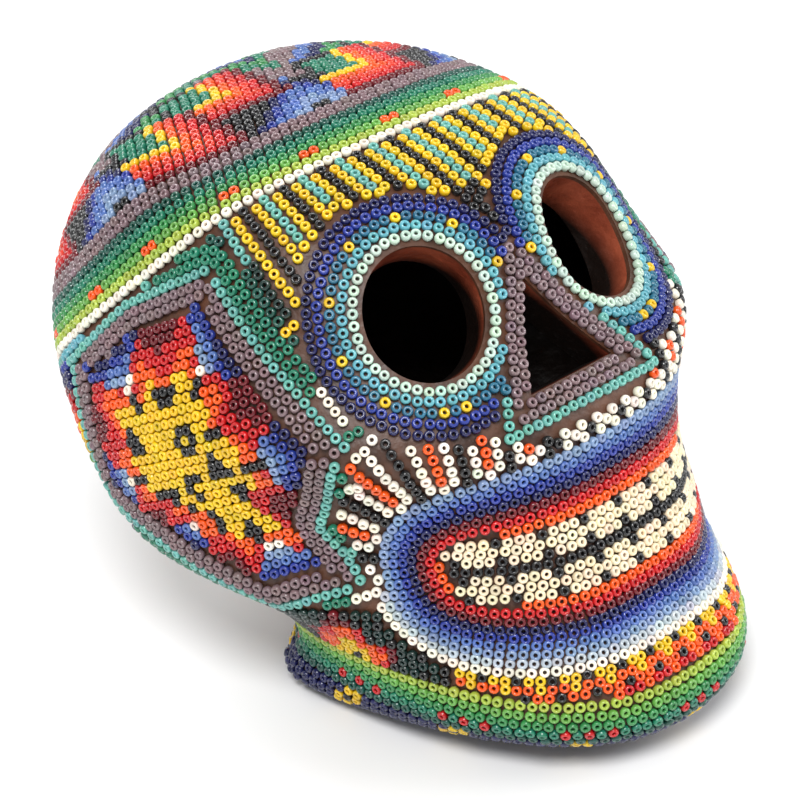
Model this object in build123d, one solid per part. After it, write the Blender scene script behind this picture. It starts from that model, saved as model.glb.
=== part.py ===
from build123d import *
import math
import os

import numpy as np

# A hollow clay skull with a coat of wax and a skin of seed beads.
# Millimetres. +Z is up, the face looks towards -Y, and the skull's own right side is -X.
# The origin is on the resting plane, under the middle of the whole length and width.

# ---- driving dimensions -------------------------------------------------------------
HEIGHT = 109.0            # resting plane to the top of the crown, over the beads
BEAD_LENGTH = 1.4         # a bead stands this tall above the wax
BEAD_ROW = 2.15           # from one row of beads to the next
WAX = 0.8                 # wax under the beads
CLAY = 8.0                # wall of the casting

# Horizontal sections of the beaded surface, one a row:
# height, front end, back end, half width, y of the widest place,
# fullness of the front and of the back (2 is an ellipse, more is squarer),
# and how much the front tapers in towards the muzzle (1 is a point).
SECTIONS = [
    (0.0, -61.0, 14.0, 31.5, -12.0, 2.2, 1.8, 0.04),
    (4.0, -68.5, 15.0, 37.8, -11.0, 2.2, 1.8, 0.03),
    (8.0, -73.6, 13.5, 40.6, -8.0, 2.2, 1.8, 0.03),
    (11.0, -75.5, 11.0, 41.5, -6.0, 2.3, 1.8, 0.03),
    (19.0, -72.5, 12.0, 41.5, 3.0, 2.6, 1.9, 0.10),
    (29.0, -64.5, 28.0, 55.0, 13.0, 2.8, 2.1, 0.36),
    (41.0, -58.0, 49.0, 59.5, 18.0, 2.6, 2.2, 0.33),
    (53.0, -52.0, 65.5, 60.0, 20.0, 2.3, 2.2, 0.16),
    (65.0, -49.0, 74.0, 58.0, 22.0, 2.2, 2.2, -0.10),
    (76.0, -38.5, 75.5, 53.5, 23.0, 2.2, 2.2, -0.12),
    (88.0, -30.5, 70.5, 47.5, 24.0, 2.2, 2.2, -0.14),
    (98.0, -20.0, 61.0, 42.0, 25.0, 2.2, 2.2, -0.13),
    (105.5, -1.0, 51.0, 28.0, 26.0, 2.2, 2.2, -0.12),
    (HEIGHT, 28.0, 28.0, 0.0, 28.0, 2.2, 2.2, -0.10),
]
TUCK = 6.0                # the rim would draw in this far below the resting plane
RIM = 14.0                # the sides turn under below this height
SECTION_COUNT = 20        # sections in one loft
SECTION_POINTS = 24       # points round one section
PROFILE_STEPS = 240       # straight steps that a profile is measured in
TOP_FRACTION = 0.968      # the last section, as a share of the quarter turn to the crown

EYE_CENTRE = (21.5, -27.8, 85.1)    # of the left eye, on the beads
EYE_TURN = 20.5                     # the eye looks this far outward, degrees
EYE_LIFT = 37.3                     # and this far up
EYE_HALF_WIDTH = 12.2               # of the opening
EYE_HALF_HEIGHT = 13.3
EYE_TAPER = 0.80                    # the socket's inner end, as a share of its mouth
EYE_RINGS = ["pale", "turquoise", "steel", "cobalt", "navy"]
SOCKET_DEPTH = 24.0

NOSE_FOOT = 72.0          # height of the nose opening's lower edge
NOSE_TOP = 88.5
NOSE_HALF_WIDTH = 10.8
NOSE_LIFT = 36.0          # the nose wall faces up this far, degrees
NOSE_Y = -41.0            # the nose opening's middle lies on the beads here
NOSE_TAPER = 0.95

BASE_ROWS = ["lime", "leaf", "green", "sea", "pine"]
BASE_TOP = 17.8           # upper edge of the lime row
BASE_ROW = 1.95           # rows of the base, measured up

BAND_SLOPE = 0.97         # the headband's plane drops this much for each mm back
BAND_HEIGHT = 104.6       # its lower edge at y = 0
BAND_ROW = 1.94           # rows of the headband, measured square to its plane
BAND_ROWS = ["white", "lime", "leaf", "sea", "teal", "pine", "mauve_lower", "mauve_upper"]

MOUTH_CENTRE = 45.0       # height of the mouth line in the middle
MOUTH_DROP = 4.5          # and how much lower it is at its corners
MOUTH_CORNER = 30.5       # half length of the teeth, seen from the front
MOUTH_TEETH = 6.5         # half height of the teeth field
MOUTH_ROW = 1.78          # rows round the mouth, measured up
MOUTH_ROW_SIDE = 1.15     # and measured across at the corners
MOUTH_ROWS = ["orange", "red", "garnet", "navy", "cobalt", "periwinkle", "sky", "white"]

# the six corners of the temple panel seen from the side: y, z
TEMPLE = [(30.0, 66.0), (2.0, 88.0), (-23.0, 74.0), (-26.0, 38.0), (-14.0, 29.0), (24.0, 46.0)]
CHEEK_BACK = -25.0        # the cheek fields end at the temple panel
FLOWER_CENTRE = (-24.0, 17.8)       # y, z of the half flower at the jaw's corner
FLOWER_RADIUS = 11.5
CHIN_SIDE = 34.0          # half width of the chin field
BROW_SIDE = 34.0          # half width of the brow field
BROW_FOOT = 86.0          # it lies above this height
BROW_BACK = 12.0          # and in front of this
GREEN_FOOT = 60.0         # the green ground above and behind the temple panel
GREEN_BACK = 16.0
SLIVER = 3.0              # a cut leaves no piece smaller than this, cubic millimetres
REACH = 200.0             # longer than the skull in any direction


# ---- the skull's surface ------------------------------------------------------------
def column(index):
    return [row[index] for row in SECTIONS]


def tucked(stations):
    """The profile's points, with one more where the rim draws in below the resting plane."""
    (first, low), (second, _) = stations[:2]
    return [(first - 0.6 * (second - first), low - TUCK)] + stations


def profile(near, far, inset):
    """The outline over the crown from the near side to the far one, moved inward by inset.

    Near the rim, where the outline turns under, it moves level instead of square to itself.
    Returns the heights and places of both sides, each from the bottom up.
    """
    over = tucked(near) + tucked(far)[-2::-1]
    curve = Spline([Vector(place, height) for place, height in over])
    moved = []
    for step in range(PROFILE_STEPS + 1):
        point = curve @ (step / PROFILE_STEPS)
        along = curve % (step / PROFILE_STEPS)
        square = min(max(point.Y / RIM, 0), 1)
        level = math.copysign(1 - square, along.Y)
        moved.append((point.Y - inset * along.X * square, point.X + inset * (along.Y * square + level)))
    crest = moved.index(max(moved))
    return moved[: crest + 1], moved[:crest:-1]


def at_height(side, height):
    return float(np.interp(height, [z for z, place in side], [place for z, place in side]))


class Skin:
    """The skull's surface moved inward by inset."""

    def __init__(self, inset):
        front = list(zip(column(1), column(0)))
        back = list(zip(column(2), column(0)))
        right = [(-half, height) for height, half in zip(column(0), column(3))]
        left = list(zip(column(3), column(0)))
        self.front, self.back = profile(front, back, inset)
        self.left = profile(right, left, inset)[1]
        self.top = HEIGHT - inset

    def section(self, height):
        """One closed horizontal section as a wire."""
        shape = [float(np.interp(height, column(0), column(i))) for i in (4, 5, 6, 7)]
        widest, front_full, back_full, taper = shape
        front = at_height(self.front, height)
        back = at_height(self.back, height)
        half_width = at_height(self.left, height)
        length = back - front
        widest = min(max(widest, front + length / 4), back - length / 4)
        points = []
        for step in range(SECTION_POINTS):
            turn = 2 * math.pi * (step + 0.5) / SECTION_POINTS
            cosine, sine = math.cos(turn), math.sin(turn)
            full = front_full if sine < 0 else back_full
            reach = widest - front if sine < 0 else back - widest
            x = half_width * math.copysign(abs(cosine) ** (2 / full), cosine)
            along = abs(sine) ** (2 / full)
            if sine < 0:
                x *= 1 - taper * along * along * (3 - 2 * along)
            points.append(Vector(x, widest + math.copysign(reach * along, sine), height))
        places = [step / SECTION_POINTS for step in range(SECTION_POINTS + 1)]
        return Wire([Edge.make_spline(points, periodic=True, parameters=places)])

    def solid(self):
        """The closed form inside this surface, flat on the resting plane."""
        wires = []
        for step in range(SECTION_COUNT):
            turn = TOP_FRACTION * step / (SECTION_COUNT - 1) * math.pi / 2
            wires.append(self.section(self.top * math.sin(turn)))
        return Part() + Solid.make_loft(wires)


# ---- tools that cut the surface into fields -------------------------------------------
def eye_plane():
    """The left eye's opening lies in this plane; its normal looks out of the head."""
    turn, lift = math.radians(EYE_TURN), math.radians(EYE_LIFT)
    outward = (math.sin(turn) * math.cos(lift), -math.cos(turn) * math.cos(lift), math.sin(lift))
    across = (math.cos(turn), math.sin(turn), 0)
    return Plane(origin=EYE_CENTRE, x_dir=across, z_dir=outward)


def nose_plane():
    lift = math.radians(NOSE_LIFT)
    middle = (NOSE_FOOT + NOSE_TOP) / 2
    return Plane(origin=(0, NOSE_Y, middle), x_dir=(1, 0, 0), z_dir=(0, -math.cos(lift), math.sin(lift)))


def socket(outline, plane, share):
    """A hole that narrows inward to the given share of its outline."""
    start = plane.offset(6.0)
    mouth = (start * outline(1.0)).face().outer_wire()
    end = (plane.offset(-SOCKET_DEPTH) * outline(share)).face().outer_wire()
    return Part() + Solid.make_loft([mouth, end], ruled=True)


def eye_outline(share):
    return Sketch() + Ellipse(EYE_HALF_WIDTH * share, EYE_HALF_HEIGHT * share).face()


def nose_triangle(grow):
    """The nose opening's outline, or a larger one round it, in the nose plane."""
    rise = (NOSE_TOP - NOSE_FOOT) / 2 / math.cos(math.radians(NOSE_LIFT))
    corners = [(-NOSE_HALF_WIDTH, -rise), (NOSE_HALF_WIDTH, -rise), (0, rise)]
    outline = Sketch() + Polygon(*corners, align=None).face()
    return offset(outline, grow, kind=Kind.INTERSECTION) if grow else outline


def nose_outline(share):
    return scale(nose_triangle(0), share)


def prism(outline, plane):
    """The outline pushed through the front of the head along the plane's normal."""
    return extrude(plane.offset(-SOCKET_DEPTH) * outline, amount=SOCKET_DEPTH + 30.0)


def half_space(point, normal):
    """A large block whose near face passes through point, on the side of normal."""
    plane = Plane(origin=point, z_dir=normal)
    return plane * Pos(0, 0, REACH / 2) * Box(2 * REACH, 2 * REACH, REACH)


def mouth_outline(rows):
    """The closed line that lies a number of rows outside the teeth, seen from the front."""
    half_height = MOUTH_TEETH + rows * MOUTH_ROW
    corner = MOUTH_CORNER + rows * MOUTH_ROW_SIDE
    shoulder = 0.82 * corner
    low = MOUTH_CENTRE - MOUTH_DROP
    points = [
        (corner, low),
        (shoulder, low + 0.80 * half_height),
        (0, MOUTH_CENTRE + half_height),
        (-shoulder, low + 0.80 * half_height),
        (-corner, low),
        (-shoulder, low - 0.95 * half_height),
        (0, MOUTH_CENTRE - half_height),
        (shoulder, low - 0.95 * half_height),
    ]
    return Face(Wire([Edge.make_spline([Vector(*p) for p in points], periodic=True)]))


def mouth_prism(rows):
    front = Plane(origin=(0, -10, 0), x_dir=(1, 0, 0), z_dir=(0, -1, 0))
    return extrude(front * Sketch([mouth_outline(rows)]), amount=REACH / 2)


def temple_prism(inset):
    """The temple panel's prism on the right side, drawn in by inset."""
    side = Plane(origin=(-20, 0, 0), x_dir=(0, 1, 0), z_dir=(1, 0, 0))
    outline = Sketch() + Polygon(*TEMPLE, align=None).face()
    if inset:
        outline = offset(outline, -inset, kind=Kind.INTERSECTION)
    return extrude(side * outline, amount=-REACH / 2)


# ---- building -------------------------------------------------------------------------
def save(name, shape):
    """Write one node, without slivers."""
    pieces = [Solid(solid.wrapped) for solid in shape.solids() if solid.volume > SLIVER]
    export_step(Compound(children=pieces), f"parts/{name}.step")


def mirrored(shape):
    return mirror(shape, about=Plane.YZ)


def save_pair(name, shape):
    """Write a field of the left side, and the same field of the right side."""
    save(f"{name}_left", shape)
    save(f"{name}_right", mirrored(shape))


def layer(outer_inset, inner_inset):
    """The skin between two insets, open underneath, with the eye and nose openings cut."""
    shell = Skin(outer_inset).solid() - Skin(inner_inset).solid()
    left_eye = socket(eye_outline, eye_plane(), EYE_TAPER)
    nose = socket(nose_outline, nose_plane(), NOSE_TAPER)
    return shell - left_eye - mirrored(left_eye) - nose


def save_slabs(shape, names, edges, normal):
    """Cut shape into slabs between points on parallel planes."""
    for name, low, high in zip(names, edges, edges[1:]):
        save(name, shape & half_space(low, normal) - half_space(high, normal))


def save_base(beads):
    """The rows round the base and the navy rim that the skull stands on."""
    names = ["base_rim_navy"] + [f"base_row_{name}" for name in reversed(BASE_ROWS)]
    low = BASE_TOP - BASE_ROW * len(BASE_ROWS)
    levels = [-1.0] + [low + BASE_ROW * row for row in range(len(BASE_ROWS) + 1)]
    save_slabs(beads, names, [(0, 0, level) for level in levels], (0, 0, 1))


def band_normal():
    return Vector(0, BAND_SLOPE, 1).normalized()


def band_point(rows):
    """A point on the headband's lower edge, moved up by a number of rows."""
    return Vector(0, 0, BAND_HEIGHT) + band_normal() * (BAND_ROW * rows)


def save_band(head):
    """The eight rows of the headband, from the white one up, and the crown above them."""
    names = [f"headband_{name}" for name in BAND_ROWS]
    edges = [band_point(row) for row in range(len(names) + 1)]
    save_slabs(head, names, edges, band_normal())
    save("crown_field", head & half_space(edges[-1], band_normal()))


def save_mouth(face, nose):
    """The teeth, and the rows nested round them. Returns the prism of them all."""
    inner = mouth_prism(0)
    save("mouth_teeth", face & inner)
    for row, name in enumerate(MOUTH_ROWS, start=1):
        grown = mouth_prism(row if name != "white" else row + 1)
        save(f"mouth_{name}", (face & (grown - inner)) - nose)
        inner = grown
    return inner


def save_eyes(face, taken):
    """The rings round the left eye, each outside the last. Returns the prism of them all."""
    inner = prism(eye_outline(0.9), eye_plane())
    for row, name in enumerate(EYE_RINGS, start=1):
        grow = row * BEAD_ROW
        ellipse = Sketch() + Ellipse(EYE_HALF_WIDTH + grow, EYE_HALF_HEIGHT + grow).face()
        grown = prism(ellipse, eye_plane())
        save_pair(f"eye_{name}", (face & (grown - inner)) - taken)
        inner = grown
    return inner


def save_nose(face, nose):
    """The border round the nose opening, and the row that underlines it."""
    save("nose_border", face & nose)
    under = prism(nose_triangle(3 * BEAD_ROW), nose_plane()) - nose
    row = face & under & half_space((0, 0, NOSE_FOOT), (0, 0, -1))
    save("nose_turquoise_row", row)
    return nose + under.intersect(half_space((0, 0, NOSE_FOOT), (0, 0, -1)))


def save_temple(side):
    """The left temple panel: a turquoise row, two mauve rows and the sun inside them."""
    frame = mirrored(temple_prism(BEAD_ROW))
    panel = mirrored(temple_prism(3 * BEAD_ROW))
    save_pair("temple_turquoise", side - frame)
    save_pair("temple_mauve", (side & frame) - panel)
    save_pair("temple_sun", side & panel)


def block(corner, far_corner):
    """A box between two opposite corners."""
    size = [high - low for low, high in zip(corner, far_corner)]
    return Pos(*corner) * Box(*size, align=(Align.MIN, Align.MIN, Align.MIN))


def main():
    os.makedirs("parts", exist_ok=True)
    save("clay_skull", layer(BEAD_LENGTH + WAX, BEAD_LENGTH + WAX + CLAY))
    save("wax_coat", layer(BEAD_LENGTH, BEAD_LENGTH + WAX))
    beads = layer(0, BEAD_LENGTH)
    save_base(beads)
    head = beads & half_space((0, 0, BASE_TOP), (0, 0, 1))
    save_band(head)
    lower = head - half_space(band_point(0), band_normal())

    face = lower & half_space((0, 0, 0), (0, -1, 0))
    nose = prism(nose_triangle(2 * BEAD_ROW), nose_plane())
    mouth = save_mouth(face, nose)
    nose = save_nose(face - mouth, nose)
    left = half_space((0, 0, 0), (1, 0, 0))
    eye = save_eyes(lower & left, mouth + nose)

    brow = block((-BROW_SIDE, -REACH, BROW_FOOT), (BROW_SIDE, BROW_BACK, REACH))
    save("brow_field", (lower & brow) - eye - mirrored(eye) - nose)
    flower = Plane.YZ * Pos(*FLOWER_CENTRE) * Cylinder(FLOWER_RADIUS, REACH)
    chin = block((-CHIN_SIDE, -REACH, 0), (CHIN_SIDE, CHEEK_BACK, MOUTH_CENTRE - MOUTH_DROP))
    save("chin_field", (lower & chin) - mouth - flower)

    rest = (lower & left) - mouth - nose - eye - brow - chin
    save_pair("jaw_flower", rest & flower)
    rest = rest - flower
    temple = mirrored(temple_prism(0))
    save_temple(rest & temple)
    rest = rest - temple
    cheek = block((0, -REACH, 0), (REACH, CHEEK_BACK, BROW_FOOT))
    save_pair("cheek_field", rest & cheek)
    green = block((0, CHEEK_BACK, GREEN_FOOT), (REACH, GREEN_BACK, REACH))
    rest = rest - cheek
    save_pair("temple_green", rest & green)
    save_pair("back_field", rest - green)


main()
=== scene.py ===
import math
import random

import bpy
import numpy as np
from mathutils import Matrix, Vector
from mathutils.bvhtree import BVHTree


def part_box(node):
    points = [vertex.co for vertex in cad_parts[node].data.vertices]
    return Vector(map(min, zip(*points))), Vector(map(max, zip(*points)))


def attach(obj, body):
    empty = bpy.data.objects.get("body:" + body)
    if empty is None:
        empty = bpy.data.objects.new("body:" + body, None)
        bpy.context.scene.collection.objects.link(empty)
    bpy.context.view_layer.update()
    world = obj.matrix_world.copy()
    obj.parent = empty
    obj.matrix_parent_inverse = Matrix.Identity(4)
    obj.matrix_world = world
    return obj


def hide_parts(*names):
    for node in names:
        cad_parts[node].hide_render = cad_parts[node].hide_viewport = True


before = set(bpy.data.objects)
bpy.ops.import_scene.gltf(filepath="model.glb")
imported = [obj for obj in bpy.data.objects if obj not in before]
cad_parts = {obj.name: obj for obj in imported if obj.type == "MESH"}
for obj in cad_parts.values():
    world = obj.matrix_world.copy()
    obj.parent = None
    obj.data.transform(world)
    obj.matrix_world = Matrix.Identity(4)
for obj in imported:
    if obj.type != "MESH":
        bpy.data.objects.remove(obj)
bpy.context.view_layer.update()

# A clay skull with a coat of wax and a skin of glass seed beads, each bead a mesh of its own.
# Metres, in the frame's axes: the face looks towards -Y and the skull's own right side is -X.

MM = 0.001
PITCH = 2.15 * MM             # from bead to bead along a row
ROW = 1.96 * MM               # from row to row on the surface
COLUMN = 2.02 * MM            # from column to column where beads hang in columns
RING = 2.05 * MM              # from ring to ring round an eye
CLEAR = 0.86 * PITCH          # no two beads stand closer than this
FILL = 0.84 * PITCH           # and a bare place this far from its neighbours gets a bead
COLUMN_CLEAR = 0.80 * PITCH   # CLEAR for beads that hang in columns
COLUMN_START = 0.93 * ROW     # from the line they hang from to the first bead
LOWEST = 1.15 * MM            # no bead's foot in a row is lower than this
FILL_LOWEST = 1.3 * MM        # nor lower than this in a gap
FIRST = 0.55                  # the share of a step between an outline and its first row
BEAD_RADIUS = 1.05 * MM
HOLE_RADIUS = 0.37 * MM
BEAD_HALF = 0.72 * MM         # half the bead's length
SEAT = 0.66 * MM              # the bead's middle above the wax
BEAD_SIDES = 12
STEP = 0.5 * MM               # between the points of a row's line
CORE = Vector((0, 2, 48)) * MM    # every ray that feels for the surface aims here
GRID_TURN, GRID_RISE = 240, 120
OUTSIDE = 160 * MM            # further from CORE than any of the surface
GRAZING = 0.12                # a face turned further from CORE is the wall of an opening
SMOOTHINGS = 1500             # to close an opening over

EYE_CENTRE = Vector((21.5, -27.8, 85.1)) * MM
EYE_TURN, EYE_LIFT = math.radians(20.5), math.radians(37.3)
EYE_HALF = (12.2 * MM, 13.3 * MM)
NOSE_MIDDLE = Vector((0, -41.0, 80.25)) * MM
NOSE_LIFT = math.radians(36)
NOSE_HALF_WIDTH, NOSE_HALF_RISE = 10.8 * MM, 10.2 * MM
NOSE_RING = 0.97 * RING
NOSE_LOW = NOSE_MIDDLE.z - 9.5 * MM       # the turquoise row ends near this height
ROOM = 1.2 * MM               # from an opening's edge to the foot of a bead
RING_ROOM = 0.9 * MM          # from the nose opening to the rings of the eyes
BORDER_ROOM = 0.5 * MM        # from an eye opening to the nose border
EDGE_ROOM = 0.2 * MM          # from an eye opening to its own rings
BEHIND_NOSE, BEHIND_EYE = 20 * MM, 25 * MM    # further back lies another part of the head
BAND_NORMAL = Vector((0, 0.97, 1)).normalized()
BAND_LEVEL = Vector((0, 0, 104.6 * MM)).dot(BAND_NORMAL)
SUN_NORMAL = Vector((0, 0.454, 0.891)).normalized()
SUN_ROW = 0.94 * ROW
MOUTH_HEIGHT, MOUTH_DROP = 41.1 * MM, 1.2 * MM
MOUTH_CORNER, MOUTH_TEETH = 31.2 * MM, 6.0 * MM
MOUTH_ROW = 1.72 * MM         # the rows of the mouth are pressed closer
MOUTH_CLEAR = 0.72 * PITCH
MOUTH_ROUNDING = 0.48         # 1 for an ellipse, less for squarer corners
BASE_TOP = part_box("base_row_lime")[1].z
TOOTH_ROW = 1.68 * MM
TEETH_HALF = (30.9 * MM, 30.6 * MM, 30.9 * MM, 29.8 * MM)    # half a row's length, middle row first
SIDES = ((-1, "right"), (1, "left"))


def side_view(*places):
    """Places in the side view, y and z, given in millimetres."""
    return [(y * MM, z * MM) for y, z in places]


# The temple panel: its corners, the blue tips in them, the middle of its sun, and the eyes
# and nose of the sun's mask. Then the mask's mouth, and the half flower at the jaw's corner.
TEMPLE = side_view((37.0, 66.0), (24.0, 80.6), (5.0, 92.4), (-30.2, 67.0),
                   (-22.6, 48.0), (-29.8, 36.0), (-13.0, 27.6), (27.0, 40.0))
TIPS = side_view((18.9, 67.9), (0.6, 79.5), (-17.2, 62.3), (-15.0, 39.0), (4.0, 30.5), (18.0, 47.0))
MASK = side_view((1.1, 62.3), (-5.8, 58.6), (0.1, 53.2))
SUN, MASK_MOUTH, FLOWER = side_view((0.0, 56.5), (1.5, 46.0), (-24.0, 19.0))
TIP_BANDS = ((0.75, "white"), (0.82, "sky"), (0.88, "blue"), (0.95, "cobalt"))
RAY_BANDS = ((0.58, "yellow"), (0.70, "orange"), (0.87, "red"))

COLOURS = {
    "pale": (0.46, 0.60, 0.50),
    "turquoise": (0.12, 0.37, 0.32),
    "aqua": (0.10, 0.34, 0.40),
    "steel": (0.022, 0.13, 0.21),
    "cobalt": (0.018, 0.035, 0.24),
    "navy": (0.010, 0.012, 0.075),
    "mauve": (0.18, 0.118, 0.128),
    "lime": (0.34, 0.44, 0.055),
    "leaf": (0.12, 0.33, 0.06),
    "green": (0.035, 0.22, 0.065),
    "sea": (0.015, 0.17, 0.10),
    "teal": (0.010, 0.075, 0.055),
    "pine": (0.008, 0.026, 0.022),
    "white": (0.80, 0.74, 0.62),
    "cream": (0.78, 0.66, 0.46),
    "orange": (0.76, 0.085, 0.006),
    "coral": (0.60, 0.035, 0.014),
    "red": (0.48, 0.008, 0.010),
    "garnet": (0.13, 0.007, 0.012),
    "blue": (0.075, 0.14, 0.38),
    "sky": (0.18, 0.26, 0.42),
    "mist": (0.42, 0.47, 0.52),
    "yellow": (0.72, 0.46, 0.008),
    "black": (0.011, 0.011, 0.012),
}
draw = random.Random(11)


# ---- the surface the beads stand on ---------------------------------------------------
def feel_surface():
    """The wax's outer surface as a grid of radii round CORE, with the openings closed over."""
    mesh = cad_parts["wax_coat"].data
    tree = BVHTree.FromPolygons([v.co for v in mesh.vertices], [p.vertices for p in mesh.polygons])
    reach = OUTSIDE
    radii = np.full((GRID_RISE + 1, GRID_TURN), np.nan)
    aim = np.zeros((GRID_RISE + 1, GRID_TURN, 3))
    for i in range(GRID_RISE + 1):
        rise = math.pi * i / GRID_RISE
        for j in range(GRID_TURN):
            turn = 2 * math.pi * j / GRID_TURN
            flat = math.sin(rise)
            way = Vector((flat * math.cos(turn), flat * math.sin(turn), math.cos(rise)))
            aim[i, j] = way
            spot, normal, _, gone = tree.ray_cast(CORE + way * reach, -way, reach)
            if spot is not None and normal.dot(way) > GRAZING:
                radii[i, j] = reach - gone
    hole = np.isnan(radii)
    radii[hole] = np.nanmean(radii)
    for _ in range(SMOOTHINGS):
        ring = np.roll(radii, 1, 1) + np.roll(radii, -1, 1)
        over = np.vstack([radii[:1], radii[:-1]]) + np.vstack([radii[1:], radii[-1:]])
        radii[hole] = ((ring + over) / 4)[hole]
    return aim * radii[..., None] + np.array(CORE)


def build_skin():
    """The grid's points and normals, and a tree over its faces."""
    points = feel_surface()
    around = np.roll(points, -1, 1) - np.roll(points, 1, 1)
    down = np.gradient(points, axis=0)
    normals = np.cross(down, around)
    normals[0] = (0, 0, 1)
    normals[-1] = (0, 0, -1)
    normals /= np.linalg.norm(normals, axis=2, keepdims=True) + 1e-12
    flat = points.reshape(-1, 3)
    faces = []
    for i in range(GRID_RISE):
        for j in range(GRID_TURN):
            right = (j + 1) % GRID_TURN
            a, b = i * GRID_TURN + j, i * GRID_TURN + right
            faces.append((a, a + GRID_TURN, b + GRID_TURN, b))
    tree = BVHTree.FromPolygons([Vector(p) for p in flat], faces)
    return flat, normals.reshape(-1, 3), faces, tree


SKIN_POINTS, SKIN_NORMALS, SKIN_FACES, SKIN = build_skin()


def settle(point):
    """The nearest place on the surface, and the smooth normal there."""
    spot, _, face, _ = SKIN.find_nearest(Vector(point))
    corners = SKIN_FACES[face]
    gaps = np.linalg.norm(SKIN_POINTS[list(corners)] - np.array(spot), axis=1) + 1e-6
    normal = (SKIN_NORMALS[list(corners)] / gaps[:, None]).sum(0)
    return np.array(spot), normal / np.linalg.norm(normal)


def settle_all(points):
    pairs = [settle(p) for p in points]
    return np.array([p for p, _ in pairs]), np.array([n for _, n in pairs])


def measure(points, closed):
    """The line, with its end joined if it is closed, and how far along it each point lies."""
    line = np.vstack([points, points[:1]]) if closed else np.asarray(points)
    return line, np.concatenate([[0], np.cumsum(np.linalg.norm(np.diff(line, axis=0), axis=1))])


def spot_at(line, along, where):
    return np.stack([np.interp(where, along, line[:, axis]) for axis in range(3)], -1)


def nearest(line, along, start):
    """How far along the line its point nearest to start lies."""
    return along[int(np.argmin(np.linalg.norm(line - np.array(start), axis=1)))]


def even(points, closed):
    """The same line with its points spread evenly."""
    line, along = measure(points, closed)
    count = max(int(round(along[-1] / STEP)), 8)
    places = np.linspace(0, along[-1], count + 1)
    if closed:
        places = places[:-1]
    return spot_at(line, along, places)


def soften(points, closed, times):
    """Take small kinks out of a line."""
    for _ in range(times):
        if closed:
            points = (np.roll(points, 1, 0) + 2 * points + np.roll(points, -1, 0)) / 4
        else:
            middle = (points[:-2] + 2 * points[1:-1] + points[2:]) / 4
            points = np.vstack([points[:1], middle, points[-1:]])
    return points


def directions(points, closed):
    if closed:
        run = np.roll(points, -1, 0) - np.roll(points, 1, 0)
    else:
        run = np.gradient(points, axis=0)
    return run / (np.linalg.norm(run, axis=1, keepdims=True) + 1e-12)


def march(points, closed, distance):
    """The line beside this one on the surface; positive is to the line's right, seen from outside."""
    places, normals = settle_all(points)
    side = np.cross(directions(points, closed), normals)
    moved = settle_all(places + side * distance)[0]
    return even(soften(moved, closed, 3), closed)


def shine(origins, way):
    """Where rays from origins along way meet the surface."""
    way = Vector(way)
    spots = [SKIN.ray_cast(Vector(o) - way * 0.15, way, 0.3)[0] for o in origins]
    return np.array([spot for spot in spots if spot is not None])


def slice_at(offset, normal):
    """The closed line in which a plane cuts the surface, from the front round the left side."""
    normal = Vector(normal)
    middle = CORE + normal * (offset - CORE.dot(normal))
    front = Vector((0, -1, 0))
    front = (front - normal * front.dot(normal)).normalized()
    left = normal.cross(front)
    spots = []
    for step in range(360):
        turn = math.radians(step)
        way = front * math.cos(turn) + left * math.sin(turn)
        spot = SKIN.ray_cast(middle + way * 0.15, -way, 0.15)[0]
        if spot is not None:
            spots.append(spot)
    return even(np.array(spots), True)


# ---- beads ----------------------------------------------------------------------------
class Beads:
    """All beads placed so far, by field, with a grid that finds close neighbours."""

    def __init__(self):
        self.cells = {}
        self.fields = {}
        self.places = []
        self.marks = []

    def cell(self, place):
        return tuple(int(math.floor(c / PITCH)) for c in place)

    def near(self, place, reach):
        """The number of the nearest bead within reach, or None."""
        x, y, z = self.cell(place)
        best, found = reach, None
        span = range(-1, 2) if reach <= PITCH else range(-3, 4)
        for i in span:
            for j in span:
                for k in span:
                    for number in self.cells.get((x + i, y + j, z + k), ()):
                        gap = math.dist(place, self.places[number])
                        if gap < best:
                            best, found = gap, number
        return found

    def add(self, field, place, normal, run, colour):
        number = len(self.places)
        self.places.append(tuple(place))
        self.marks.append((field, colour))
        self.cells.setdefault(self.cell(place), []).append(number)
        self.fields.setdefault(field, []).append((place, normal, run, colour))


beads = Beads()


def string(field, points, closed, paint, start=None, shift=0.0, keep=None, clear=CLEAR):
    """Thread beads along a line. Column 0 lies nearest to start.

    paint(column, place) names a bead's colour and keep(place) says whether it is wanted.
    """
    line, along = measure(points, closed)
    length = along[-1]
    zero = 0.0 if start is None else nearest(line, along, start)
    if closed:
        count = max(int(round(length / PITCH)), 3)
        step = length / count
        columns = range(-(count // 2), count - count // 2)
    else:
        step = PITCH
        first, last = -zero / step - shift, (length - zero) / step - shift
        columns = range(int(math.ceil(first)), int(math.floor(last)) + 1)
    for column in columns:
        where = zero + (column + shift) * step
        ahead = where + STEP
        if closed:
            where %= length
            ahead = (where + STEP) % length
        spot = spot_at(line, along, where)
        place, normal = settle(spot)
        if place[2] < LOWEST or (keep is not None and not keep(place)):
            continue
        if blocked(field, place) or beads.near(place, clear) is not None:
            continue
        beads.add(field, place, normal, spot_at(line, along, ahead) - spot, paint(column, place))


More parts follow.
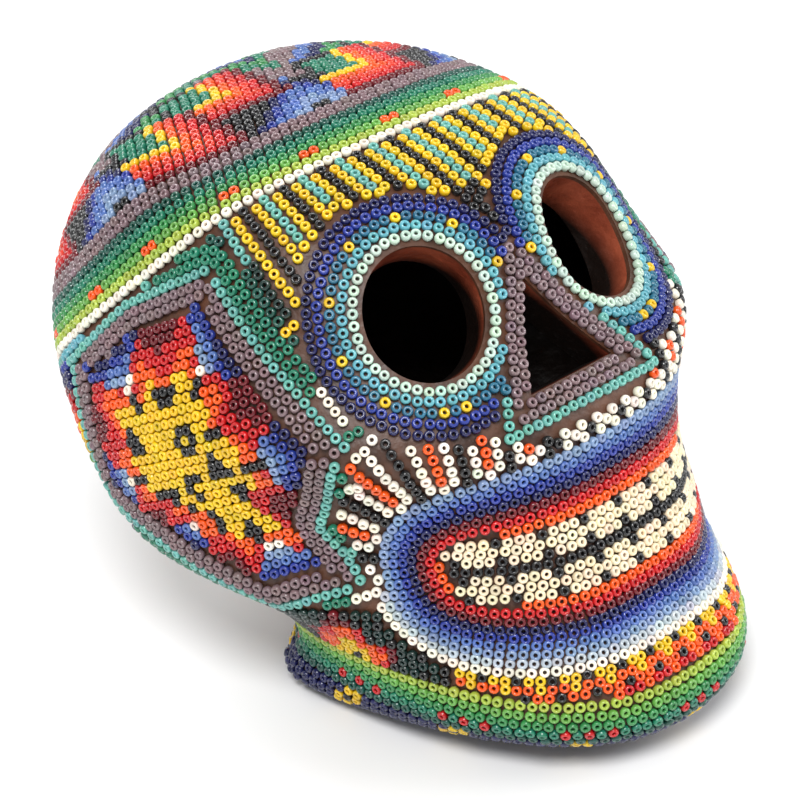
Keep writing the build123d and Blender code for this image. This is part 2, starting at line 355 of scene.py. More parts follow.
def hang(field, points, paint, start, rows, keep, lean=0.0):
    """Straight columns of beads that leave a closed line at right angles.

    Every second column starts half a bead further on. lean tilts them along the line.
    """
    line, along = measure(points, True)
    zero = nearest(line, along, start)
    half = int(along[-1] / COLUMN / 2)
    feet = []
    for column in range(-half, half + 1):
        where = [(zero + column * COLUMN + extra) % along[-1] for extra in (-STEP, 0.0, STEP)]
        before, spot, after = spot_at(line, along, where)
        place, normal = settle(spot)
        run = (after - before) / np.linalg.norm(after - before)
        way = np.cross(run, normal) + run * lean
        feet.append((column, place + way * (COLUMN_START + 0.5 * PITCH * (column % 2)), way))
    for row in range(rows):
        following = []
        for column, spot, way in feet:
            place, normal = settle(spot)
            way = way - normal * normal.dot(way)
            way = way / np.linalg.norm(way)
            following.append((column, place + way * PITCH, way))
            if not keep(place) or blocked(field, place) or beads.near(place, COLUMN_CLEAR) is not None:
                continue
            beads.add(field, place, normal, way, paint(column, row, place))
        feet = following


def in_nose(place, room):
    """Whether a place lies over the nose opening or within room of its edge."""
    out, up = nose_frame()
    arm = Vector(place) - NOSE_MIDDLE
    rise = arm.dot(up)
    if arm.dot(out) < -BEHIND_NOSE or place[1] > 0:
        return False
    if not -NOSE_HALF_RISE - room < rise < NOSE_HALF_RISE + 3 * room:
        return False
    wide = NOSE_HALF_WIDTH * (NOSE_HALF_RISE - rise) / (2 * NOSE_HALF_RISE) + room * 1.3
    return abs(arm.x) < wide


def in_eye(place, room):
    """Whether a place lies over an eye opening or within room of its edge."""
    for side, _ in SIDES:
        centre, out, across, up = eye_frame(side)
        arm = Vector(place) - centre
        if arm.dot(out) < -BEHIND_EYE:
            continue
        wide = arm.dot(across) / (EYE_HALF[0] + room)
        high = arm.dot(up) / (EYE_HALF[1] + room)
        if wide * wide + high * high < 1:
            return True
    return False


def blocked(field, place):
    """Whether a bead would hang over an opening."""
    if field == "nose_border":
        return in_eye(place, BORDER_ROOM)
    if field.startswith("eye_"):
        return in_nose(place, RING_ROOM) or in_eye(place, EDGE_ROOM)
    return in_nose(place, ROOM) or in_eye(place, ROOM)


def gap_to(place, fields, reach):
    """How far a place is from the nearest bead of the given fields."""
    x, y, z = beads.cell(place)
    best = reach
    span = int(reach / PITCH) + 1
    for i in range(-span, span + 1):
        for j in range(-span, span + 1):
            for k in range(-span, span + 1):
                for number in beads.cells.get((x + i, y + j, z + k), ()):
                    if beads.marks[number][0].startswith(fields):
                        best = min(best, math.dist(place, beads.places[number]))
    return best


def plain(colour):
    return lambda column, place: colour


# ---- the fields round the openings ------------------------------------------------------
def nose_frame():
    out = Vector((0, -math.cos(NOSE_LIFT), math.sin(NOSE_LIFT)))
    up = Vector((0, math.sin(NOSE_LIFT), math.cos(NOSE_LIFT)))
    return out, up


def nose_triangle(grow):
    """The nose opening's outline, grown, with its corners kept."""
    _, up = nose_frame()
    slope = math.atan2(NOSE_HALF_WIDTH, 2 * NOSE_HALF_RISE)
    wide = grow * (1 + math.sin(slope)) / math.cos(slope)
    corners = [(0, NOSE_HALF_RISE + grow / math.sin(slope)),
               (NOSE_HALF_WIDTH + wide, -NOSE_HALF_RISE - grow),
               (-NOSE_HALF_WIDTH - wide, -NOSE_HALF_RISE - grow)]
    spots = []
    for (x0, v0), (x1, v1) in zip(corners, corners[1:] + corners[:1]):
        for t in np.linspace(0, 1, 60, endpoint=False):
            spots.append(NOSE_MIDDLE + Vector((x0 + (x1 - x0) * t, 0, 0)) + up * (v0 + (v1 - v0) * t))
    return spots


def lay_nose():
    """Two rows of border and a turquoise row below, which climbs higher on the left."""
    out, _ = nose_frame()
    for row in range(2):
        line = shine(nose_triangle((FIRST + row) * NOSE_RING), -out)
        string("nose_border", even(line, True), True, plain("mauve"), shift=0.5 * row)
    line = even(shine(nose_triangle((FIRST + 2) * NOSE_RING), -out), True)
    string("nose_turquoise_row", line, True, plain("turquoise"),
           keep=lambda p: p[2] < NOSE_LOW + (4.0 if p[0] > 0 else -0.6) * MM)


EYE_COLOURS = {"pale": "pale", "turquoise": "aqua", "steel": "steel", "cobalt": "cobalt", "navy": "navy"}


def eye_frame(side):
    """The middle of an eye opening and the directions out of, across and up it."""
    turn = EYE_TURN * side
    level = math.cos(EYE_LIFT)
    out = Vector((math.sin(turn) * level, -math.cos(turn) * level, math.sin(EYE_LIFT)))
    across = Vector((math.cos(turn), math.sin(turn), 0))
    return Vector((EYE_CENTRE.x * side, EYE_CENTRE.y, EYE_CENTRE.z)), out, across, out.cross(across)


def lay_eyes():
    """Rings from the opening outward, the far rows marched on the surface."""
    for side, word in SIDES:
        centre, out, across, up = eye_frame(side)
        spots = []
        for step in range(240):
            angle = math.radians(step * 1.5)
            spots.append(centre + across * (EYE_HALF[0] + FIRST * RING) * math.cos(angle)
                         + up * (EYE_HALF[1] + FIRST * RING) * math.sin(angle))
        line = even(shine(spots, -out), True)
        for row, (name, colour) in enumerate(EYE_COLOURS.items()):
            if row:
                line = march(line, True, RING)

            def paint(column, place, name=name, colour=colour):
                return "yellow" if name == "steel" and column % 5 == 0 else colour
            string(f"eye_{name}_{word}", line, True, paint, start=line[len(line) // 4],
                   shift=0.5 * (row % 2))


# ---- mouth and chin -----------------------------------------------------------------------
def mouth_line():
    """The outline of the teeth, from the top middle round the skull's right side."""
    low = MOUTH_HEIGHT - MOUTH_DROP
    spots = []
    for step in range(360):
        turn = math.radians(step)
        x = -MOUTH_CORNER * math.copysign(abs(math.sin(turn)) ** MOUTH_ROUNDING, math.sin(turn))
        bend = MOUTH_HEIGHT + (low - MOUTH_HEIGHT) * (x / MOUTH_CORNER) ** 2
        z = bend + MOUTH_TEETH * math.copysign(abs(math.cos(turn)) ** MOUTH_ROUNDING, math.cos(turn))
        spots.append(Vector((x, 0, z)))
    return even(shine(spots, (0, 1, 0)), True)


def lay_teeth():
    """Hexagonal blocks of three, four and three beads above and below a black line."""
    for row in range(-3, 4):
        spots = []
        for x in np.linspace(-MOUTH_CORNER, MOUTH_CORNER, 120):
            bend = MOUTH_HEIGHT - MOUTH_DROP * (x / MOUTH_CORNER) ** 2
            spots.append(Vector((x, 0, bend + row * TOOTH_ROW)))
        line = even(shine(spots, (0, 1, 0)), False)
        middle = line[len(line) // 2]

        def paint(column, place, row=row):
            if row == 0:
                return "black"
            if abs(row) == 2:
                return "cream"
            return "black" if column % 4 == 0 else "cream"
        shift = 0.5 if row % 2 == 0 else 0.0
        string("mouth_teeth", line, False, paint, start=middle, shift=shift,
               keep=lambda p, row=row: abs(p[0]) < TEETH_HALF[abs(row)], clear=MOUTH_CLEAR)


MOUTH_COLOURS = {"orange": "orange", "red": "red", "garnet": "garnet", "navy": "navy",
                 "cobalt": "cobalt", "periwinkle": "blue", "sky": "sky"}


def mouth_step(line):
    """The rows lie a little closer below the mouth than above it."""
    return MOUTH_ROW * (1 + 0.07 * np.tanh((line[:, 2:] - MOUTH_HEIGHT) / (6 * MM)))


def lay_mouth():
    """The rows round the teeth. The outermost is the line for the chin and the cheeks."""
    line = mouth_line()
    for row, (name, colour) in enumerate(MOUTH_COLOURS.items()):
        line = march(line, True, mouth_step(line) * (1 if row else FIRST))
        string(f"mouth_{name}", line, True, plain(colour), start=line[0], shift=0.5 * (row % 2),
               keep=lambda p: p[1] < 0, clear=MOUTH_CLEAR)
    return line


CHIN_ROWS = ("orange", "orange", "orange", "red", "red", "red", "garnet", "garnet")


def chin_paint(row):
    """Yellow pairs over orange, red and garnet, with a black bead in every third place."""
    def paint(column, place):
        across = (column + 0.5 * (row % 2)) % 3
        if row == 0:
            return "black" if across == 0 else "yellow"
        if row == 1:
            return "yellow" if across == 1.5 else "orange"
        if row % 2 == 0 and across == 0:
            return "black"
        if row == 3 and across == 1.5:
            return "orange"
        return CHIN_ROWS[min(row, 7)]
    return paint


def lay_chin(line):
    """Below the mouth: a pale row, a white row, and the stepped field down to the base."""
    for row in range(11):
        line = march(line, True, mouth_step(line))
        low = (36 - 2 * min(row, 2)) * MM
        wide = 1.0 if row < 2 else 34 * MM

        def keep(p, low=low, wide=wide):
            return p[2] < low and p[1] < -20 * MM and abs(p[0]) < wide
        if row < 2:
            string("mouth_white", line, True, plain(("mist", "white")[row]), start=line[0],
                   shift=0.5 * ((row + 1) % 2), keep=keep, clear=MOUTH_CLEAR)
        else:
            string("chin_field", line, True, chin_paint(row - 2), start=line[len(line) // 2],
                   shift=0.5 * (row % 2), keep=keep, clear=MOUTH_CLEAR)


CHEEK_CORES = (-21, -17, -13, -9, -5, -1, 3, 8, 12, 16, 20, 24, 28)


def lay_cheeks(line):
    """White fingers with orange cores and black between, standing on the rows of the mouth."""
    def paint(column, row, place):
        away = min(abs(column - core) for core in CHEEK_CORES)
        if away == 0:
            return "orange" if row else "white"
        return "white" if away == 1 else "black"
    for side, word in SIDES:
        def keep(p, side=side):
            if p[0] * side < 0 or p[1] >= -20 * MM or not 33 * MM < p[2] < 80 * MM:
                return False
            return not bare_lip(p) and not on_temple(p, -0.4 * ROW)
        hang(f"cheek_field_{word}", line, paint, line[0], 22, keep)


def bare_lip(place):
    """The strip of bare wax under the nose."""
    return abs(place[0]) < 15 * MM and gap_to(place, "nose_turquoise_row", 1.6 * PITCH) < 1.45 * PITCH


# ---- headband, base, brow and crown ---------------------------------------------------------
BAND_COLOURS = {"white": "white", "lime": "lime", "leaf": "leaf", "sea": "green", "teal": "sea",
                "pine": "teal", "mauve_lower": "mauve", "mauve_upper": "mauve"}


def front_of(line):
    """The line's point in the middle of the front."""
    score = np.abs(line[:, 0]) + 0.2 * (line[:, 1] - line[:, 1].min())
    return int(np.argmin(score))


def lay_band():
    line = slice_at(BAND_LEVEL + 0.5 * ROW, BAND_NORMAL)
    first = line
    for row, (name, colour) in enumerate(BAND_COLOURS.items()):
        if row:
            line = march(line, True, -ROW)

        def paint(column, place, name=name, colour=colour):
            return "orange" if name == "leaf" and column % 17 in (0, 1, 8, 9) else colour
        string(f"headband_{name}", line, True, paint, start=line[front_of(line)], shift=0.5 * (row % 2))
    return first, line


def crown_paint(row):
    """Stepped warm blocks with green hearts, cool wedges between them and chevrons on top."""
    warm = ["garnet", "red", "coral", "orange", "yellow"]
    cool = ["black", "black", "navy", "cobalt", "blue", "blue", "sky", "sky", "white"]
    bands = ["mauve", "mauve", "sea", "green", "navy", "blue"]

    def paint(column, place):
        if row < 7 and column < -44:
            if row == 0:
                return "turquoise"
            cycle = ["black", "navy", "cobalt", "blue", "aqua", "yellow"]
            return "black" if (column + row) % 6 == 0 else cycle[row - 1]
        for tier in (0, 1):
            rise, across = row - 5 * tier, (column + 20 - 8 * tier) % 21
            if 0 <= rise < 10 and across < 10:
                level = min(9 - across, rise)
                if level < len(warm):
                    return warm[level]
                return "black" if rise == 9 or across == 0 else "sea"
        rise, across = row, (column + 20) % 21
        if row < 7:
            if row == 0 and across in (17, 18):
                return "black"
            return cool[min(max(int(9 - abs(across - 17.5) - rise), 0), 8)]
        return bands[(abs(across - 14) + rise) // 2 % 6]
    return paint


def lay_crown(line):
    for row in range(34):
        line = march(line, True, -ROW)
        if len(line) < 24:
            break
        string("crown_field", line, True, crown_paint(row), start=line[front_of(line)], shift=0.5 * (row % 2))


def lay_brow(line):
    """Yellow fingers with turquoise cores and black between, hanging from the headband."""
    def paint(column, row, place):
        kind = "tyby"[column % 4]
        if abs(place[0]) < 2.6 * MM and row > 7:
            return "black"
        if kind == "t" and gap_to(place, ("eye_navy", "eye_cobalt"), 2.6 * PITCH) < 1.75 * PITCH:
            return "yellow"
        return {"y": "yellow", "t": "turquoise", "b": "black"}[kind]

    def keep(p):
        if abs(p[0]) >= 40.5 * MM or p[1] >= 8.5 * MM or p[2] <= 84 * MM:
            return False
        return not on_temple(p, -1.7 * ROW)
    hang("brow_field", line, paint, line[front_of(line)], 13, keep, lean=0.09)


BASE_COLOURS = {"lime": "lime", "leaf": "leaf", "green": "green", "sea": "sea", "pine": "teal"}


def lay_base():
    line = slice_at(BASE_TOP - 0.5 * ROW, (0, 0, 1))
    first = line
    for row, (name, colour) in enumerate(BASE_COLOURS.items()):
        if row:
            line = march(line, True, ROW)

        def paint(column, place, name=name, colour=colour):
            return "red" if name == "sea" and column % 11 in (0, 2, 9) else colour
        string(f"base_row_{name}", line, True, paint, start=line[front_of(line)], shift=0.5 * (row % 2))
    for row in range(4):
        line = march(line, True, ROW)

        def rim(column, place, row=row):
            spot = (column + (row % 2) * 0.5 + 27) % 11 - 5.5
            away = math.hypot(spot * 0.8, (row - 1) * 0.9)
            if away < 0.6:
                return "black"
            return "yellow" if away < 1.5 else "navy"
        string("base_rim_navy", line, True, rim, start=line[front_of(line)], shift=0.5 * (row % 2))
    return first


def lay_jaw_flower(line):
    """The half flowers that stand on the lime row at the jaw's corners."""
    for row in range(7):
        line = march(line, True, -ROW)

        def paint(column, place):
            along, rise = place[1] - FLOWER[0], place[2] - FLOWER[1]
            away = math.hypot(along, rise) / PITCH
            petal = math.cos(5 * math.atan2(rise, along) - 0.5 * math.pi)
            if away < 0.7:
                return "black"
            if away < 1.8:
                return "yellow"
            if away < 3.0 + 0.5 * petal:
                return "orange"
            if away < 4.1 + petal:
                return "red" if away < 3.9 else "garnet"
            return "pine" if (column + int(away)) % 3 else "black"
        for side, word in SIDES:
            string(f"jaw_flower_{word}", line, True, paint, start=line[front_of(line)], shift=0.5 * (row + 1),
                   keep=lambda p, side=side: p[0] * side > 24 * MM and -44 * MM < p[1] < -9 * MM
                   and p[2] < 36 * MM)


# ---- temples ------------------------------------------------------------------------------------
ASIDE = 10 * MM               # nearer the middle plane nothing belongs to a side of the head


def inside_temple(y, z, inset):
    """How far a side-view point lies inside the temple panel, less inset."""
    edge, crossings = 1.0, 0
    for (y0, z0), (y1, z1) in zip(TEMPLE, TEMPLE[1:] + TEMPLE[:1]):
        share = ((y - y0) * (y1 - y0) + (z - z0) * (z1 - z0)) / ((y1 - y0) ** 2 + (z1 - z0) ** 2)
        share = min(max(share, 0.0), 1.0)
        edge = min(edge, math.hypot(y0 + share * (y1 - y0) - y, z0 + share * (z1 - z0) - z))
        if (z0 > z) != (z1 > z) and y < y0 + (z - z0) * (y1 - y0) / (z1 - z0):
            crossings += 1
    return (edge if crossings % 2 else -edge) - inset


def on_temple(place, inset):
    return abs(place[0]) > ASIDE and inside_temple(place[1], place[2], inset) > 0


def temple_line(inset, side):
    """The panel's outline drawn in by inset and laid on the side of the head."""
    corners = [np.array(corner) for corner in TEMPLE]
    drawn = []
    for index, corner in enumerate(corners):
        before, after = corners[index - 1], corners[(index + 1) % len(corners)]
        first = (corner - before) / np.linalg.norm(corner - before)
        last = (after - corner) / np.linalg.norm(after - corner)
        normals = [np.array((-n[1], n[0])) for n in (first, last)]
        bisector = normals[0] + normals[1]
        drawn.append(corner + bisector * inset * 2 / bisector.dot(bisector))
    spots = []
    for start, end in zip(drawn, drawn[1:] + drawn[:1]):
        for t in np.linspace(0, 1, 50, endpoint=False):
            y, z = start + (end - start) * t
            spots.append(Vector((0, y, z)))
    return even(shine(spots, (-side, 0, 0)), True)


def rim_beyond(turn):
    """How far the panel's edge is from the sun's middle in a direction, in the side view."""
    way_y, way_z = math.cos(turn), math.sin(turn)
    best = 1.0
    corners = [(y - SUN[0], z - SUN[1]) for y, z in TEMPLE]
    for (y0, z0), (y1, z1) in zip(corners, corners[1:] + corners[:1]):
        slant = way_y * (z1 - z0) - way_z * (y1 - y0)
        if abs(slant) < 1e-9:
            continue
        reach = (y0 * (z1 - z0) - z0 * (y1 - y0)) / slant
        share = (y0 * way_z - z0 * way_y) / slant
        if reach > 0 and 0 <= share <= 1:
            best = min(best, reach)
    return best


def banded(value, bands, beyond):
    """The colour of the first band whose limit is above value."""
    for limit, colour in bands:
        if value < limit:
            return colour
    return beyond


def mask_paint(y, z):
    """The two eyes, the nose and the mouth of the sun's mask."""
    for hole_y, hole_z in MASK:
        away = math.hypot(y - hole_y, z - hole_z) / PITCH
        if away < 1.3:
            return "yellow" if away < 0.5 else "black"
    if abs(z - MASK_MOUTH[1]) < 0.55 * PITCH and abs(y - MASK_MOUTH[0]) < 1.7 * PITCH:
        return "orange"
    return None


def sun_paint(column, place):
    """Yellow rays that turn orange, red and garnet, a masked face, and blue tips in the corners."""
    masked = mask_paint(place[1], place[2])
    if masked:
        return masked
    y, z = place[1] - SUN[0], place[2] - SUN[1]
    away, turn = math.hypot(y, z), math.atan2(z, y)
    reach = away / (rim_beyond(turn) - 3.2 * ROW)      # 0 in the middle, 1 beside the frame
    tips = [math.atan2(tip_z - SUN[1], tip_y - SUN[0]) for tip_y, tip_z in TIPS]
    offs = [(turn - tip + math.pi) % (2 * math.pi) - math.pi for tip in tips]
    off = min(offs, key=abs)
    before = min(offset for offset in offs if offset >= 0)
    after = min(-offset for offset in offs if offset < 0)
    share = min(before, after) / (before + after)      # 0 at a tip, 0.5 halfway between two
    if reach > 0.68 and share < 0.06 + 0.75 * (reach - 0.68):
        return banded(reach, TIP_BANDS, "navy")
    if 0.47 < reach <= 0.69 and abs(math.sin(off)) * away < 0.5 * PITCH:
        return "black"
    beside = (0.5 - share) * (before + after) * away
    if 0.42 < reach < 0.52 and beside < 0.5 * PITCH or 0.52 <= reach < 0.59 and beside < 1.3 * PITCH:
        return "black"
    return banded(reach + 0.08 * math.cos(4 * math.pi * share), RAY_BANDS, "garnet")


def outward(line):
    """1 where marching to a closed line's right leads outward, -1 where it leads inward."""
    turning = np.cross(directions(line, True), settle_all(line)[1])
    return 1.0 if (turning * (line - line.mean(0))).sum() > 0 else -1.0


def lay_temple():
    """A turquoise and two mauve rows as a frame, with the sun in slanting rows inside it."""
    for side, word in SIDES:
        line = temple_line(0.5 * ROW, side)
        string(f"temple_turquoise_{word}", line, True, plain("turquoise"))
        for row in range(2):
            line = march(line, True, -outward(line) * ROW)
            string(f"temple_mauve_{word}", line, True, plain("mauve"), shift=0.5 * (1 - row))
        for row in range(-19, 20):
            line = slice_at(Vector((0, *SUN)).dot(SUN_NORMAL) + row * SUN_ROW, SUN_NORMAL)
            string(f"temple_sun_{word}", line, True, sun_paint, start=(side * 50 * MM, *SUN),
                   shift=0.5 * (row % 2),
                   keep=lambda p, side=side: p[0] * side > 0 and on_temple(p, 2.0 * ROW))


GREEN_COLOURS = ("sea", "sea", "teal", "pine", "black", "black")


def lay_green():
    """Green rows outside the temple panels, darker further out."""
    for side, word in SIDES:
        line = temple_line(0.5 * ROW, side)
        away = outward(line)
        for row in range(9):
            line = march(line, True, away * ROW)
            colour = GREEN_COLOURS[min(row, 5)]
            string(f"temple_green_{word}", line, True, plain(colour), shift=0.5 * (row % 2),
                   keep=lambda p, side=side: p[0] * side > ASIDE and p[1] < 18 * MM and p[2] > 24 * MM)


BACK_BANDS = ("aqua", "aqua", "turquoise", "cobalt", "navy", "navy", "garnet", "red", "red", "orange",
              "orange", "yellow", "yellow", "leaf", "green", "sea", "teal")


def lay_back(line):
    """Behind the temples: bands from cyan down to green, in rows below the headband."""
    for row in range(26):
        line = march(line, True, ROW)

        def paint(column, place, row=row):
            return BACK_BANDS[(row + abs(column % 16 - 8) // 2) % len(BACK_BANDS)]
        for side, word in SIDES:
            string(f"back_field_{word}", line, True, paint, start=line[front_of(line)], shift=0.5 * (row % 2),
                   keep=lambda p, side=side: p[0] * side >= 0 and p[1] > 0 and p[2] > BASE_TOP)


def fill_gaps():
    """A bead in every place that is still bare, in its neighbour's colour."""
    order = list(range(len(SKIN_POINTS)))
    draw.shuffle(order)
    for index in order:
        place, normal = SKIN_POINTS[index], SKIN_NORMALS[index]
        if place[2] < FILL_LOWEST or blocked("", place) or bare_lip(place):
            continue
        if beads.near(place, FILL) is not None:
            continue
        neighbour = beads.near(place, 3 * PITCH)
        if neighbour is None:
            continue
        field, colour = beads.marks[neighbour]
        beads.add(field, place, normal, np.cross(normal, (0.3, 0.2, 1)), colour)


def lay_all():
    lay_nose()
    lay_eyes()
    lay_teeth()
    mouth = lay_mouth()
    lay_temple()
    white, mauve = lay_band()
    lime = lay_base()
    lay_chin(mouth)
    lay_cheeks(mouth)
    lay_brow(white)
    lay_jaw_flower(lime)
    lay_green()
    lay_crown(mauve)
    lay_back(white)
    fill_gaps()


# ---- meshes ---------------------------------------------------------------------------------------
def bead_profile():
    """Radius and height of the section of a bead, up the hole and down the outside."""
    r, hole, half = BEAD_RADIUS, HOLE_RADIUS, BEAD_HALF
    return [(hole, -0.80 * half), (hole, 0.62 * half), (hole + 0.16 * (r - hole), 0.90 * half),
            (hole + 0.48 * (r - hole), half), (r - 0.13 * (r - hole), 0.72 * half), (r, 0.05 * half),
            (r - 0.13 * (r - hole), -0.70 * half), (hole + 0.48 * (r - hole), -0.95 * half)]


def bead_template():
    profile = bead_profile()
    count = len(profile)
    verts = []
    for side in range(BEAD_SIDES):
        turn = 2 * math.pi * side / BEAD_SIDES
        verts += [(radius * math.cos(turn), radius * math.sin(turn), height) for radius, height in profile]
    faces = []
    for side in range(BEAD_SIDES):
        ahead = (side + 1) % BEAD_SIDES
        for step in range(count):
            following = (step + 1) % count
            faces.append((side * count + step, side * count + following, ahead * count + following,
                          ahead * count + step))
    return np.array(verts), np.array(faces)


TEMPLATE, TEMPLATE_FACES = bead_template()


# How much beads differ from one another.
TILT, WIDTH, LENGTH = 0.055, 0.018, 0.06
RISE, DRIFT = 0.05 * MM, 0.035 * MM
SHADE, HUE = 0.07, 0.03


def bead_mesh(name, rows):
    """One mesh that holds all the beads in rows, with a colour on every bead."""
    chance = np.random.default_rng(len(rows) + sum(map(ord, name)))
    count = len(rows)
    places = np.array([row[0] for row in rows])
    normals = np.array([row[1] for row in rows]) + chance.normal(0, TILT, (count, 3))
    normals /= np.linalg.norm(normals, axis=1, keepdims=True)
    runs = np.array([row[2] for row in rows])
    runs = runs - normals * (runs * normals).sum(1, keepdims=True)
    runs /= np.linalg.norm(runs, axis=1, keepdims=True) + 1e-12
    sides = np.cross(normals, runs)
    wide = chance.normal(1, WIDTH, (count, 1)).clip(0.94, 1.03)
    tall = chance.normal(1, LENGTH, (count, 1)).clip(0.85, 1.10)
    rise = chance.normal(0, RISE, (count, 1)).clip(-2 * RISE, 2 * RISE)
    centres = places + normals * (SEAT + rise)
    centres += runs * chance.normal(0, DRIFT, (count, 1)) + sides * chance.normal(0, DRIFT, (count, 1))
    ring = TEMPLATE[None, :, :1] * runs[:, None] + TEMPLATE[None, :, 1:2] * sides[:, None]
    hole = TEMPLATE[None, :, 2:] * normals[:, None]
    verts = centres[:, None] + wide[:, None] * ring + tall[:, None] * hole
    each = len(TEMPLATE)
    faces = TEMPLATE_FACES[None] + (np.arange(count) * each)[:, None, None]
    mesh = bpy.data.meshes.new(name)
    mesh.vertices.add(count * each)
    mesh.vertices.foreach_set("co", verts.astype(np.float32).ravel())
    corners = faces.reshape(-1, 4)
    mesh.loops.add(corners.size)
    mesh.loops.foreach_set("vertex_index", corners.astype(np.int32).ravel())
    mesh.polygons.add(len(corners))
    mesh.polygons.foreach_set("loop_start", np.arange(0, corners.size, 4, dtype=np.int32))
    mesh.update(calc_edges=True)
    mesh.validate()
    mesh.shade_smooth()
    tint = np.array([COLOURS[row[3]] for row in rows])
    tint = tint * chance.normal(1, SHADE, (count, 1)).clip(0.8, 1.2)
    tint = tint * chance.normal(1, HUE, (count, 3)).clip(0.9, 1.1)
    rgba = np.concatenate([tint.clip(0, 1), np.ones((count, 1))], 1)
    layer = mesh.attributes.new("glass_colour", "FLOAT_COLOR", "POINT")
    layer.data.foreach_set("color", np.repeat(rgba, each, 0).astype(np.float32).ravel())
    return mesh


# ---- materials ----------------------------------------------------------------------------------------
def new_material(name):
    """A material, its nodes and its shader."""
    material = bpy.data.materials.new(name)
    material.use_nodes = True
    tree = material.node_tree
    return material, tree, tree.nodes["Principled BSDF"]


def noise(tree, scale, detail=3.0):
    node = tree.nodes.new("ShaderNodeTexNoise")
    node.inputs["Scale"].default_value = scale
    node.inputs["Detail"].default_value = detail
    place = tree.nodes.new("ShaderNodeTexCoord")
    tree.links.new(place.outputs["Object"], node.inputs["Vector"])
    return node


def remap(tree, source, low, high):
    node = tree.nodes.new("ShaderNodeMapRange")
    node.inputs["To Min"].default_value = low
    node.inputs["To Max"].default_value = high
    tree.links.new(source, node.inputs["Value"])
    return node.outputs["Result"]


def bump(tree, shader, source, strength, distance):
    node = tree.nodes.new("ShaderNodeBump")
    node.inputs["Strength"].default_value = strength
    node.inputs["Distance"].default_value = distance
    tree.links.new(source, node.inputs["Height"])
    tree.links.new(node.outputs["Normal"], shader.inputs["Normal"])


def glass_material():
    """Opaque glass: the bead's own colour, slightly streaked, under a glossy skin."""
    material, tree, shader = new_material("seed_bead_glass")
    colour = tree.nodes.new("ShaderNodeAttribute")
    colour.attribute_name = "glass_colour"
    streak = noise(tree, 900.0)
    mix = tree.nodes.new("ShaderNodeMix")
    mix.data_type = "RGBA"
    mix.blend_type = "MULTIPLY"
    mix.inputs["Factor"].default_value = 1.0
    shade = tree.nodes.new("ShaderNodeCombineColor")
    level = remap(tree, streak.outputs["Fac"], 0.82, 1.18)
    for channel in ("Red", "Green", "Blue"):
        tree.links.new(level, shade.inputs[channel])
    tree.links.new(colour.outputs["Color"], mix.inputs["A"])
    tree.links.new(shade.outputs["Color"], mix.inputs["B"])
    tree.links.new(mix.outputs["Result"], shader.inputs["Base Color"])
    tree.links.new(remap(tree, streak.outputs["Fac"], 0.16, 0.34), shader.inputs["Roughness"])
    shader.inputs["IOR"].default_value = 1.52
    shader.inputs["Coat Weight"].default_value = 0.35
    shader.inputs["Coat Roughness"].default_value = 0.08
    bump(tree, shader, noise(tree, 2500.0).outputs["Fac"], 0.08, 0.0002)
    return material


def ramp(tree, source, stops):
    node = tree.nodes.new("ShaderNodeValToRGB")
    elements = node.color_ramp.elements
    while len(elements) < len(stops):
        elements.new(0.5)
    for element, (place, colour) in zip(elements, stops):
        element.position = place
        element.color = (*colour, 1)
    tree.links.new(source, node.inputs["Fac"])
    return node.outputs["Color"]


def wax_material():
    material, tree, shader = new_material("brown_beeswax")
    blotch = noise(tree, 160.0, 6.0)
    stops = [(0.3, (0.035, 0.014, 0.008)), (0.7, (0.11, 0.040, 0.018))]
    tree.links.new(ramp(tree, blotch.outputs["Fac"], stops), shader.inputs["Base Color"])
    tree.links.new(remap(tree, blotch.outputs["Fac"], 0.35, 0.6), shader.inputs["Roughness"])
    bump(tree, shader, noise(tree, 500.0, 5.0).outputs["Fac"], 0.5, 0.0006)
    return material


def clay_material():
    """Red-brown paint on the walls of the openings, fading to near black painted shade deeper in the hollow.
    """
    material, tree, shader = new_material("painted_clay")
    blotch = noise(tree, 120.0, 6.0)
    paint = ramp(tree, blotch.outputs["Fac"], [(0.32, (0.15, 0.026, 0.012)), (0.68, (0.34, 0.075, 0.034))])
    # Painted shade: inside an ellipsoid round the hollow the colour fades to near black, standing in for the
    # shade inside the skull.
    place = tree.nodes.new("ShaderNodeTexCoord")
    shrink = tree.nodes.new("ShaderNodeMapping")
    shrink.vector_type = "TEXTURE"
    shrink.inputs["Location"].default_value = (0, 12 * MM, 50 * MM)
    shrink.inputs["Scale"].default_value = (58 * MM, 64 * MM, 50 * MM)
    tree.links.new(place.outputs["Object"], shrink.inputs["Vector"])
    length = tree.nodes.new("ShaderNodeVectorMath")
    length.operation = "LENGTH"
    tree.links.new(shrink.outputs["Vector"], length.inputs[0])
    hollow_shade_fade = tree.nodes.new("ShaderNodeMapRange")
    hollow_shade_fade.inputs["From Min"].default_value = 0.89
    hollow_shade_fade.inputs["From Max"].default_value = 0.96
    tree.links.new(length.outputs["Value"], hollow_shade_fade.inputs["Value"])
    # The near black painted shade, mixed in where the surface lies deep in the hollow.
    mix = tree.nodes.new("ShaderNodeMix")
    mix.data_type = "RGBA"
    mix.inputs["A"].default_value = (0.006, 0.003, 0.002, 1)
    tree.links.new(hollow_shade_fade.outputs["Result"], mix.inputs["Factor"])
    tree.links.new(paint, mix.inputs["B"])
    tree.links.new(mix.outputs["Result"], shader.inputs["Base Color"])
    tree.links.new(remap(tree, blotch.outputs["Fac"], 0.28, 0.5), shader.inputs["Roughness"])
    bump(tree, shader, noise(tree, 220.0, 5.0).outputs["Fac"], 0.6, 0.0012)
    return material


# ---- pieces ---------------------------------------------------------------------------------------------
MOST_BEADS = 1000         # in one piece


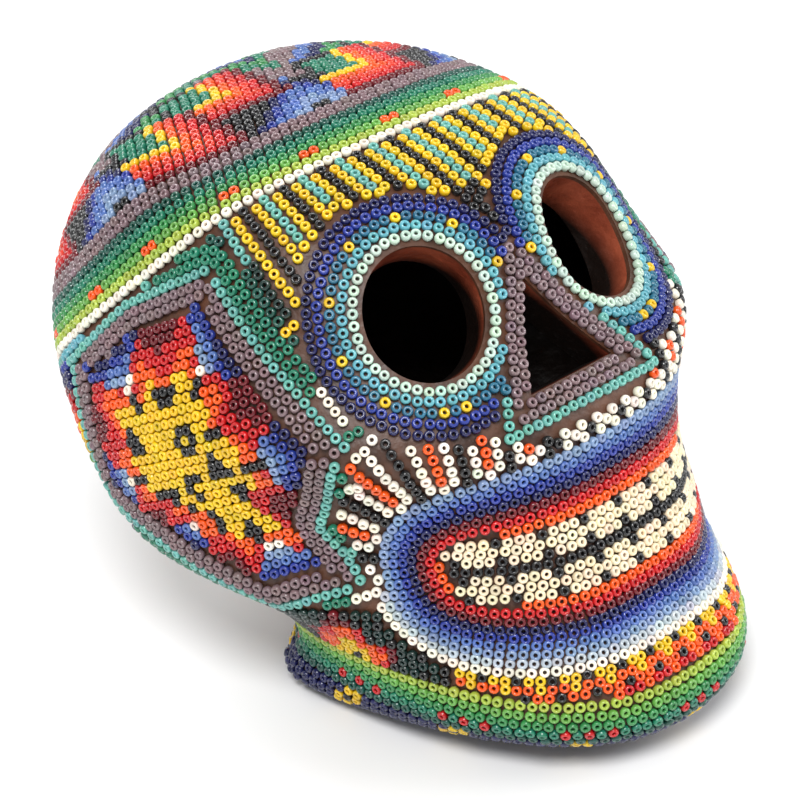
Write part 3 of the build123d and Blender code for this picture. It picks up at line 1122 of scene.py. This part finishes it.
def make_pieces():
    glass = glass_material()
    for field, rows in beads.fields.items():
        pieces = -(-len(rows) // MOST_BEADS)
        share = -(-len(rows) // pieces)
        for index in range(pieces):
            name = f"beads_{field}" + (f"_{index + 1}" if pieces > 1 else "")
            mesh = bead_mesh(name, rows[index * share:(index + 1) * share])
            mesh.materials.append(glass)
            piece = bpy.data.objects.new(name, mesh)
            bpy.context.scene.collection.objects.link(piece)
            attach(piece, "root")
            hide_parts(field)
    for node, material in (("clay_skull", clay_material()), ("wax_coat", wax_material())):
        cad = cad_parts[node]
        cad.data.materials.clear()
        cad.data.materials.append(material)


# ---- floor, light and camera ------------------------------------------------------------------------------
FLOOR_HALF = 3.0


def set_stage():
    mesh = bpy.data.meshes.new("floor")
    corners = [(FLOOR_HALF * x, FLOOR_HALF * y, 0) for x, y in ((-1, -1), (1, -1), (1, 1), (-1, 1))]
    mesh.from_pydata(corners, [], [(0, 1, 2, 3)])
    floor = bpy.data.objects.new("floor", mesh)
    bpy.context.scene.collection.objects.link(floor)
    material, tree, shader = new_material("pale_floor")
    stops = [(0.3, (0.80, 0.80, 0.80)), (0.7, (0.83, 0.83, 0.83))]
    tree.links.new(ramp(tree, noise(tree, 3.0).outputs["Fac"], stops), shader.inputs["Base Color"])
    shader.inputs["Roughness"].default_value = 0.7
    mesh.materials.append(material)


def add_light(name, place, size, power):
    data = bpy.data.lights.new(name, "AREA")
    data.shape = "DISK"
    data.size = size
    data.energy = power
    light = bpy.data.objects.new(name, data)
    light.location = place
    light.rotation_euler = (Vector((0, 0, 0.05)) - Vector(place)).to_track_quat("-Z", "Y").to_euler()
    bpy.context.scene.collection.objects.link(light)


def set_light():
    add_light("key", (-0.45, -0.45, 0.95), 0.45, 11.0)
    add_light("fill", (0.75, -0.65, 0.55), 0.6, 5.0)
    add_light("rim", (0.10, 0.80, 0.75), 0.6, 6.0)
    world = bpy.data.worlds.new("studio")
    world.use_nodes = True
    world.node_tree.nodes["Background"].inputs["Color"].default_value = (1, 1, 1, 1)
    world.node_tree.nodes["Background"].inputs["Strength"].default_value = 0.55
    bpy.context.scene.world = world
    bpy.context.scene.view_settings.view_transform = "Standard"


CAMERA_PLACE = Vector((-0.2850, -0.3192, 0.2942))
CAMERA_TURN, CAMERA_TILT, CAMERA_ROLL = math.radians(-41.30), math.radians(30.00), math.radians(-3.20)
CAMERA_LENS, SENSOR = 111.57, 36.0


def set_camera():
    data = bpy.data.cameras.new("camera")
    data.lens = CAMERA_LENS
    data.sensor_width = SENSOR
    data.clip_start = 0.01
    camera = bpy.data.objects.new("camera", data)
    flat = math.cos(CAMERA_TILT)
    back = Vector((math.sin(CAMERA_TURN) * flat, -math.cos(CAMERA_TURN) * flat, math.sin(CAMERA_TILT)))
    level = back.cross(Vector((0, 0, 1))) * -1
    level.normalize()
    rise = back.cross(level)
    right = level * math.cos(CAMERA_ROLL) + rise * math.sin(CAMERA_ROLL)
    up = back.cross(right)
    turned = Matrix((right, up, back)).transposed()
    camera.matrix_world = Matrix.Translation(CAMERA_PLACE) @ turned.to_4x4()
    bpy.context.scene.collection.objects.link(camera)
    bpy.context.scene.camera = camera


lay_all()
make_pieces()
set_stage()
set_light()
set_camera()
